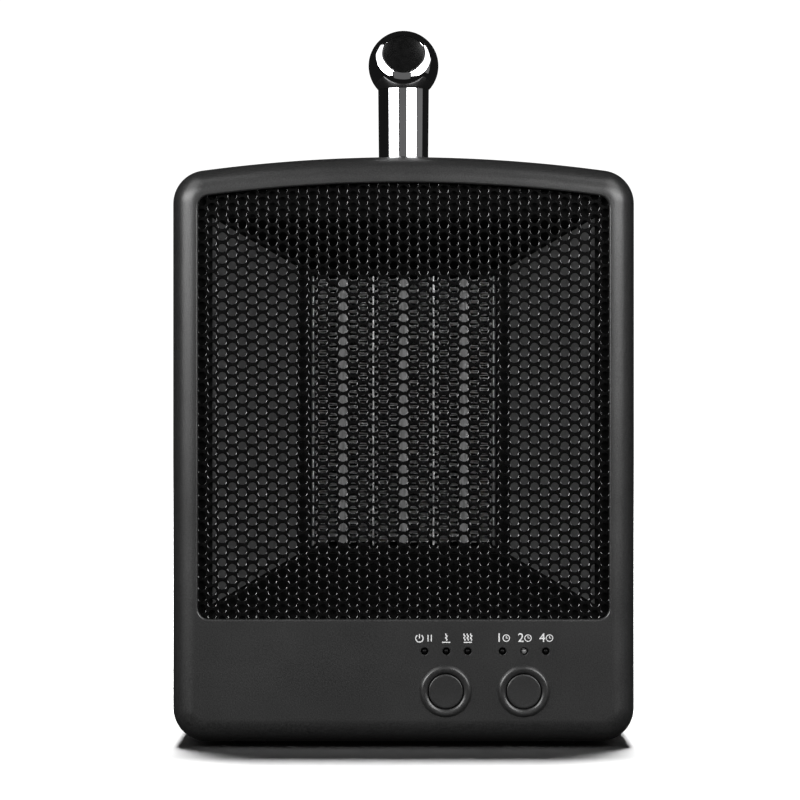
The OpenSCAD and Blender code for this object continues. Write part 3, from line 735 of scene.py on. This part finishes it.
def make_front_elbow():
    """A ball cut flat below and behind, with a sloping shoulder round its flat end."""
    centre = Vector((0, -POST_Y, GRIP_Z))
    face = Vector((0, -math.cos(CAP_TILT), math.sin(CAP_TILT)))
    flat = SHOULDER_AT + SHOULDER_H
    start = math.degrees(math.asin(SHOULDER_AT / BALL_R))
    sphere = [(BALL_R * math.cos(math.radians(a)), BALL_R * math.sin(math.radians(a)))
              for a in (-90 + (start + 90) * i / 64 for i in range(65))]
    sphere[0] = (0, -BALL_R)
    rise, run = SHOULDER_H - 0.12 * MM, SHOULDER_R - CAP_R - 0.35 * MM
    shoulder = [(SHOULDER_R - run * t, SHOULDER_AT + rise * (1.25 * t - 0.25 * t * t))
                for t in (0.04, 0.2, 0.36, 0.52, 0.68, 0.84, 1)]
    lip = [(CAP_R + 0.22 * MM, flat - 0.02 * MM), (CAP_R + 0.1 * MM, flat - 0.12 * MM)]
    seat = [(CAP_R + 0.1 * MM, flat - CAP_T), (0, flat - CAP_T)]
    ball = lathe("ball", sphere + shoulder + lip + seat, centre, face, 144, 30)
    below = GRIP_Z - math.sqrt(BALL_R ** 2 - BAR_R ** 2)
    behind = grip_lo.y
    box = 2 * BALL_R
    for origin, direction in (((0, -POST_Y, below), (0, 0, -1)), ((0, behind, GRIP_Z), (0, 1, 0))):
        cut(ball, [lathe("cutter", [(0, 0), (box, 0), (box, box), (0, box)], origin, direction, 48)])
    smooth(ball, 25)
    piece(ball, "elbow_front")
    ease = 0.25 * MM
    disc = [(0, 0), (CAP_R, 0)] + round_corner((CAP_R - ease, CAP_T - ease), ease, 0, 90, 4) + [(0, CAP_T)]
    piece(lathe("end_disc", disc, centre + face * (flat - CAP_T), face, 96), "end_cap")


def make_rear_elbow():
    """A rounded corner of tube: a ball with a stub down to the post and one to the grip."""
    ease = 0.15 * MM
    lo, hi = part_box("elbow_rear")
    r = hi.z - GRIP_Z
    ball = [(r * math.cos(math.radians(a)), r * math.sin(math.radians(a))) for a in range(-90, 91, 3)]
    ball[0], ball[-1] = (0, -r), (0, r)
    parts = [lathe("ball", ball, (0, POST_Y, GRIP_Z), (0, 0, 1), 96)]
    for origin, direction, reach in (((0, POST_Y, lo.z), (0, 0, 1), GRIP_Z - lo.z),
                                     ((0, lo.y, GRIP_Z), (0, 1, 0), POST_Y - lo.y)):
        stub = [(0, 0), (BAR_R - ease, 0), (BAR_R, ease), (BAR_R, reach), (0, reach)]
        parts.append(lathe("stub", stub, origin, direction, 96))
    piece(join(parts, "rear_elbow_tube"), "elbow_rear")


def make_post(side, place_name):
    node = "post_" + place_name
    lo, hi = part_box(node)
    base_r, ease = BAR_R - 0.25 * MM, 0.12 * MM
    height = hi.z - lo.z
    profile = [(0, 0), (base_r - ease, 0), (base_r, ease), (BAR_R, height - ease), (BAR_R - ease, height),
               (0, height)]
    piece(lathe(node + "_tube", profile, (0, side * POST_Y, lo.z), (0, 0, 1), 96), node)
    flange = "post_flange_" + place_name
    lo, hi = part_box(flange)
    r, t, bore = (hi.x - lo.x) / 2, hi.z - lo.z, 2.7 * MM
    ease = 0.35 * MM
    profile = [(bore, 0), (r - 0.1 * MM, 0), (r, 0.1 * MM)]
    profile += round_corner((r - ease, t - ease), ease, 0, 90, 5) + [(bore, t)]
    piece(lathe(flange + "_ring", closed(profile), (0, side * POST_Y, lo.z), (0, 0, 1), 96), flange)


def make_grip():
    length, ease, bore = grip_hi.y - grip_lo.y, 0.15 * MM, BAR_R - 2 * MM
    profile = [(bore, 0), (BAR_R - ease, 0), (BAR_R, ease), (BAR_R, length - ease), (BAR_R - ease, length),
               (bore, length)]
    piece(lathe("grip_tube", closed(profile), (0, grip_lo.y, GRIP_Z), (0, 1, 0), 96), "handle_grip")


def make_handle():
    make_front_elbow()
    make_rear_elbow()
    make_post(-1, "front")
    make_post(1, "rear")
    make_grip()


# ---- Buttons and indicators ----

def make_button(key):
    """A bevelled bezel ring and the cap inside it."""
    lo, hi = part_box(key + "_bezel")
    c, r = (lo + hi) / 2, (hi.x - lo.x) / 2
    proud, neck_r, inner_r, depth = FRONT_Y - lo.y, 9 * MM, 7.0 * MM, hi.y - FRONT_Y
    ring = [(neck_r, -depth), (neck_r, 0), (r, 0), (r, 0.12 * MM)]
    ring += [(r - 0.45 * MM, 0.62 * MM), (r - 0.8 * MM, 0.9 * MM), (r - 1.15 * MM, proud),
             (r - 1.7 * MM, proud), (inner_r + 0.75 * MM, proud - 0.12 * MM),
             (inner_r + 0.25 * MM, proud - 0.4 * MM), (inner_r, proud - 0.8 * MM), (inner_r, -depth)]
    piece(lathe(key + "_bezel_ring", closed(ring), (c.x, FRONT_Y, c.z), (0, -1, 0), 96, 40), key + "_bezel")
    lo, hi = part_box(key + "_button")
    cap_r, flange_r, stem_r = 6.7 * MM, 8.3 * MM, 1.5 * MM
    flange_back, flange_front = -5.05 * MM, -4.05 * MM
    proud, length = FRONT_Y - lo.y, hi.y - FRONT_Y
    ease = 0.45 * MM
    edge = round_corner((cap_r - ease, proud - ease), ease, 0, 80, 6)
    dish = [(cap_r * t, proud - 0.12 * MM * (1 - t * t)) for t in (0.86, 0.7, 0.5, 0.3, 0.1, 0)]
    cap = [(0, -length), (stem_r, -length), (stem_r, flange_back), (flange_r, flange_back),
           (flange_r, flange_front), (cap_r, flange_front)] + edge + dish
    piece(lathe(key + "_cap", cap, (c.x, FRONT_Y, c.z), (0, -1, 0), 96, 40), key + "_button")


def led_shape(x):
    lo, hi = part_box("lit_led")
    r, flange_r = 1.3 * MM, (hi.x - lo.x) / 2
    length = hi.y - lo.y
    ease, flange_t = 0.1 * MM, 1 * MM
    dome = [(r * math.sin(a), length - r + r * math.cos(a))
            for a in (math.pi / 2 * (1 - i / 8) for i in range(9))]
    dome[-1] = (0, length)
    profile = [(0, 0), (flange_r - ease, 0), (flange_r, ease), (flange_r, flange_t), (r, flange_t)] + dome
    return lathe("led", profile, (x, hi.y, LED_Z), (0, -1, 0), 40)


def make_leds():
    lit_x = node_centre("lit_led").x
    dark = [led_shape(x) for x in LED_X if abs(x - lit_x) > MM]
    piece(join(dark, "leds_dark"), "status_leds")
    piece(join([led_shape(lit_x)], "led_bright"), "lit_led")


# ---- Printed marks over the indicators: pictograms and numerals ----

PRINT_T = 0.06 * MM


def slab(name, loops_2d):
    """A thin printed shape from an outer loop, and maybe an inner one of equal length."""
    back, front = FRONT_Y, FRONT_Y - PRINT_T
    outer = loops_2d[0]
    if len(loops_2d) == 1:
        verts, faces = capped([at_y(outer, back), at_y(outer, front)])
    else:
        inner = loops_2d[1]
        verts, faces = bridge([at_y(outer, back), at_y(outer, front),
                               at_y(inner, front), at_y(inner, back)])
    return mesh_object(name, verts, faces, 30)


def ribbon(points, width):
    """A printed line of even width along an open path."""
    left, right = [], []
    for i, p in enumerate(points):
        a, b = points[max(i - 1, 0)], points[min(i + 1, len(points) - 1)]
        dx, dz = b[0] - a[0], b[1] - a[1]
        size = math.hypot(dx, dz)
        nx, nz = -dz / size * width / 2, dx / size * width / 2
        left.append((p[0] + nx, p[1] + nz))
        right.append((p[0] - nx, p[1] - nz))
    return slab("mark", [left + right[::-1]])


def arc(x, z, r, start, stop, steps=28):
    return [(x + r * math.sin(math.radians(start + (stop - start) * i / steps)),
             z + r * math.cos(math.radians(start + (stop - start) * i / steps))) for i in range(steps + 1)]


def hoop(x, z, r, width):
    outer, inner = arc(x, z, r, 0, 360)[:-1], arc(x, z, r - width, 0, 360)[:-1]
    return slab("mark", [outer, inner])


LINE = 0.42 * MM
MARK_H = 3.4 * MM
MARK_Z = LED_Z + 5.2 * MM


def power_mark(x):
    r = 1.45 * MM
    z = MARK_Z - 0.1 * MM
    return [ribbon(arc(x, z, r, 35, 325), LINE), ribbon([(x, z), (x, z + r + 0.25 * MM)], LINE)]


def pause_mark(x):
    half = 1.3 * MM
    return [ribbon([(x + dx, MARK_Z - half), (x + dx, MARK_Z + half)], LINE)
            for dx in (-0.65 * MM, 0.65 * MM)]


def heat_mark(x, waves):
    """Rising wavy lines over a bar."""
    marks = [ribbon([(x - 1.6 * MM, MARK_Z - 1.65 * MM), (x + 1.6 * MM, MARK_Z - 1.65 * MM)], LINE)]
    for i in range(waves):
        cx = x + (i - (waves - 1) / 2) * 1.3 * MM
        path = [(cx + 0.3 * MM * math.sin(4 * math.pi * t / 16), MARK_Z - 0.95 * MM + 2.7 * MM * t / 16)
                for t in range(17)]
        marks.append(ribbon(path, LINE))
    return marks


def clock_mark(x):
    r = 1.45 * MM
    z = MARK_Z
    return [hoop(x, z, r, 0.34 * MM), ribbon([(x, z + 0.85 * MM), (x, z - 0.1 * MM)], 0.3 * MM),
            ribbon([(x, z), (x + 0.7 * MM, z)], 0.3 * MM)]


def numeral(text, x):
    curve = bpy.data.curves.new("numeral", "FONT")
    curve.body = text
    curve.size = MARK_H / 0.7
    curve.extrude = PRINT_T / 2
    curve.offset = 0.03 * MM
    curve.align_x, curve.align_y = "CENTER", "CENTER"
    text_obj = bpy.data.objects.new("numeral", curve)
    bpy.context.scene.collection.objects.link(text_obj)
    bpy.context.view_layer.update()
    mesh = bpy.data.meshes.new_from_object(text_obj)
    bpy.data.objects.remove(text_obj)
    made = bpy.data.objects.new("numeral", mesh)
    bpy.context.scene.collection.objects.link(made)
    upright = Matrix.Rotation(math.pi / 2, 4, "X")
    place(made, Matrix.Translation((x, FRONT_Y - PRINT_T / 2, MARK_Z)) @ upright)
    return made


def make_marks():
    step = 2.0 * MM
    marks = power_mark(LED_X[0] - step) + pause_mark(LED_X[0] + step)
    marks += heat_mark(LED_X[1], 1) + heat_mark(LED_X[2], 3)
    for text, x in zip("124", LED_X[3:]):
        marks += [numeral(text, x - 1.35 * MM)] + clock_mark(x + 1.45 * MM)
    trim(join(marks, "printed_marks"), "front_shell", PRINT_WHITE)


# ---- Heating element ----

def rounded_bar(name, lo, hi, r, ease, steps=5):
    """An upright bar of rounded section with eased ends."""
    cx, cy = (lo.x + hi.x) / 2, (lo.y + hi.y) / 2
    a, b = (hi.x - lo.x) / 2, (hi.y - lo.y) / 2

    def section(z, inset):
        loop = []
        for k, (sx, sy) in enumerate(((1, -1), (1, 1), (-1, 1), (-1, -1))):
            for i in range(steps + 1):
                t = math.radians(-90 + 90 * k + 90 * i / steps)
                loop.append((cx + sx * (a - r) + (r - inset) * math.cos(t),
                             cy + sy * (b - r) + (r - inset) * math.sin(t), z))
        return loop

    loops = [section(lo.z, ease), section(lo.z + ease, 0), section(hi.z - ease, 0), section(hi.z, ease)]
    verts, faces = capped(loops)
    return mesh_object(name, verts, faces, 35)


def fin_strip(x0, x1, z0, z1, y0, y1):
    """One foil strip folded to and fro from x0 to x1, rising from z0 to z1."""
    fold, foil = 2.05 * MM, 0.22 * MM
    turns = int((z1 - z0) / (fold / 2))
    spine = []
    for k in range(turns + 1):
        x, z = (x0, x1)[k % 2], z0 + (k + 0.5) * (z1 - z0) / (turns + 1)
        inward = 0.5 * MM if k % 2 == 0 else -0.5 * MM
        spine += [(x + inward, z - 0.28 * MM), (x + 0.12 * inward, z - 0.1 * MM),
                  (x + 0.12 * inward, z + 0.1 * MM), (x + inward, z + 0.28 * MM)]
    left, right = [], []
    for i, p in enumerate(spine):
        a, b = spine[max(i - 1, 0)], spine[min(i + 1, len(spine) - 1)]
        dx, dz = b[0] - a[0], b[1] - a[1]
        size = math.hypot(dx, dz)
        left.append((p[0] - dz / size * foil / 2, p[1] + dx / size * foil / 2))
        right.append((p[0] + dz / size * foil / 2, p[1] - dx / size * foil / 2))
    loop = left + right[::-1]
    n = len(spine)
    verts = at_y(loop, y0) + at_y(loop, y1)
    m = len(loop)
    faces = [(i, (i + 1) % m, m + (i + 1) % m, m + i) for i in range(m)]
    for i in range(n - 1):
        faces.append((i, i + 1, m - 2 - i, m - 1 - i))
        faces.append((m + i, m + i + 1, 2 * m - 2 - i, 2 * m - 1 - i))
    return mesh_object("fin", verts, faces, 25)


def make_element():
    for name in ("left", "middle", "right"):
        tube = "ptc_tube_" + name
        lo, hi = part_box(tube)
        piece(rounded_bar(tube + "_bar", lo, hi, 1.1 * MM, 0.4 * MM), tube)
        fins = "ptc_fins_" + name
        flo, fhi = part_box(fins)
        gap = 0.12 * MM
        strips = [fin_strip(flo.x + gap, lo.x - gap, flo.z, fhi.z, flo.y, fhi.y),
                  fin_strip(hi.x + gap, fhi.x - gap, flo.z, fhi.z, flo.y, fhi.y)]
        piece(join(strips, fins + "_folded"), fins, FIN_FOIL)
    lo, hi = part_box("ptc_plates")
    plate_t = 0.8 * MM
    pitch = (hi.x - lo.x - plate_t) / 3
    plates = []
    for i in range(4):
        x = lo.x + i * pitch
        plates.append(rounded_bar("plate", Vector((x, lo.y, lo.z)), Vector((x + plate_t, hi.y, hi.z)),
                                  0.3 * MM, 0.2 * MM, 3))
    piece(join(plates, "separator_plates"), "ptc_plates", PLATE_METAL)


# ---- Camera, light and floor ----

def make_camera():
    focal, sensor = 135, 36
    view_width = 312.8 * MM
    reach = view_width * focal / sensor
    cam_data = bpy.data.cameras.new("camera")
    cam_data.lens = focal
    cam_data.sensor_width = sensor
    cam = bpy.data.objects.new("camera", cam_data)
    bpy.context.scene.collection.objects.link(cam)
    cam.location = (-1.4 * MM, FRONT_Y - reach, 136.3 * MM)
    cam.rotation_euler = (math.pi / 2, 0, 0)
    bpy.context.scene.camera = cam


def area_light(name, place, target, width, height, power, spread=180):
    data = bpy.data.lights.new(name, "AREA")
    data.shape = "RECTANGLE"
    data.size, data.size_y = width, height
    data.energy = power
    data.spread = math.radians(spread)
    light = bpy.data.objects.new(name, data)
    bpy.context.scene.collection.objects.link(light)
    light.location = place
    light.rotation_euler = (Vector(target) - Vector(place)).to_track_quat("-Z", "Y").to_euler()
    return light


def around(azimuth, distance, height):
    """A place at an azimuth from the front, positive towards +X."""
    a = math.radians(azimuth)
    return (distance * math.sin(a), -distance * math.cos(a), height)


def panel(name, azimuth, elevation, radiance, width, height, distance=1.3):
    """A softbox aimed at the handle from an azimuth and an elevation, in degrees."""
    e = math.radians(elevation)
    x, y, z = around(azimuth, distance * math.cos(e), GRIP_Z + distance * math.sin(e))
    return area_light(name, (x, y, z), (0, 0, GRIP_Z), width, height, math.pi * width * height * radiance)


def make_lights():
    panel("softbox_left", -45, 12, 12, 1.10, 0.5)
    panel("softbox_right", 37, 12, 10.5, 1.05, 0.5)
    panel("upper_left", -50, 42, 3, 0.85, 0.9)
    panel("upper_right", 45, 42, 3, 0.80, 0.9)
    panel("front_card", -3, 4, 0.16, 0.9, 0.9, 1.5)
    panel("side_card", 78, 4, 0.2, 0.8, 1.0)
    world = bpy.data.worlds.new("studio")
    world.use_nodes = True
    world.node_tree.nodes["Background"].inputs["Color"].default_value = (1, 1, 1, 1)
    world.node_tree.nodes["Background"].inputs["Strength"].default_value = 0.012
    bpy.context.scene.world = world


def emission_material(name, strength):
    mat = bpy.data.materials.new(name)
    mat.use_nodes = True
    tree = mat.node_tree
    tree.nodes.clear()
    out = tree.nodes.new("ShaderNodeOutputMaterial")
    glow = tree.nodes.new("ShaderNodeEmission")
    glow.inputs["Strength"].default_value = strength
    tree.links.new(glow.outputs["Emission"], out.inputs["Surface"])
    return mat


def make_floor():
    """A white floor that fades into its own glow away from the object, lit by one light of its own."""
    floor = lathe("floor", [(0, 0), (0.2, 0), (0.5, 0), (1.2, 0), (6.0, 0)], (0, 0, 0), (0, 0, 1), 64)
    mat = bpy.data.materials.new("floor_white")
    mat.use_nodes = True
    tree = mat.node_tree
    bsdf = tree.nodes["Principled BSDF"]
    bsdf.inputs["Roughness"].default_value = 0.9
    bsdf.inputs["Specular IOR Level"].default_value = 0.0
    bsdf.inputs["Base Color"].default_value = (0.9, 0.9, 0.9, 1)
    coord = tree.nodes.new("ShaderNodeTexCoord")
    length = tree.nodes.new("ShaderNodeVectorMath")
    length.operation = "LENGTH"
    tree.links.new(coord.outputs["Object"], length.inputs[0])
    far = tree.nodes.new("ShaderNodeMapRange")
    far.inputs["From Min"].default_value = 0.16
    far.inputs["From Max"].default_value = 0.5
    far.inputs["To Max"].default_value = 1.0
    tree.links.new(length.outputs["Value"], far.inputs["Value"])
    bsdf.inputs["Emission Color"].default_value = (1, 1, 1, 1)
    tree.links.new(far.outputs["Result"], bsdf.inputs["Emission Strength"])
    floor.data.materials.append(mat)
    dome_r = 6.4
    dome = round_corner((0, 0), dome_r, -30, 80, 11)
    backdrop = lathe("backdrop", [(0, -3.5)] + dome + [(0, dome_r)], (0, 0, 0), (0, 0, 1), 48)
    backdrop.data.materials.append(emission_material("backdrop_white", 1.1))
    floor_light = area_light("floor_light", (0, 0.7, 3.0), (0, 0, 0), 1.2, 0.75, 280)
    receivers = bpy.data.collections.new("floor_light_receivers")
    receivers.objects.link(floor)
    floor_light.light_linking.receiver_collection = receivers
    everything_else = bpy.data.collections.new("studio_receivers")
    everything_else.objects.link(floor)
    everything_else.collection_objects[0].light_linking.link_state = "EXCLUDE"
    for light in [o for o in bpy.context.scene.objects if o.type == "LIGHT" and o is not floor_light]:
        light.light_linking.receiver_collection = everything_else
    for obj in (floor, backdrop):
        obj.visible_glossy = False
        obj.visible_diffuse = False
        obj.visible_shadow = False


make_camera()
make_lights()
make_floor()
bpy.context.scene.view_settings.view_transform = "Standard"
dress_frame()
make_front_shell()
make_grille()
make_rear_cover()
make_rear_screws()
make_gland()
make_feet()
make_handle()
for key_name in ("mode", "timer"):
    make_button(key_name)
make_leds()
make_marks()
make_element()
